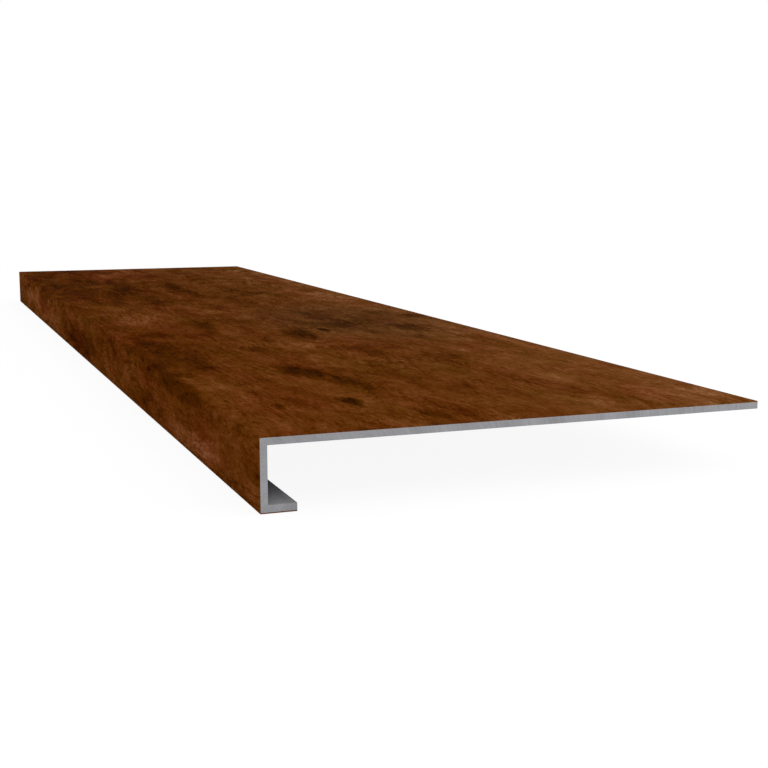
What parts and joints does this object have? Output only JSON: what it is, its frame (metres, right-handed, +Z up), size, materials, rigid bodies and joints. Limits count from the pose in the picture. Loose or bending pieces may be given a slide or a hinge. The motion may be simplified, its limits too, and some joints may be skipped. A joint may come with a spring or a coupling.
{
  "type": "stair tread",
  "caption": "Overlay stair tread: a thin rigid board with a dark wood finish, folded at the front into a square nose and a short return, with plain cut ends and rear edge.",
  "frame": {"origin": "middle of the footprint, on the floor that the return's underside stands on", "axes": "+X along the step from cut end to cut end, -Y towards the nose and +Y towards the rear edge, +Z up out of the walking face"},
  "size_m": [1.2, 0.3, 0.04],
  "materials": {
    "wood_decor_board": "matte",
    "grey_core": "matte"
  },
  "bodies": {
    "root": {"stair_tread": "wood_decor_board"}
  },
  "joints": []
}
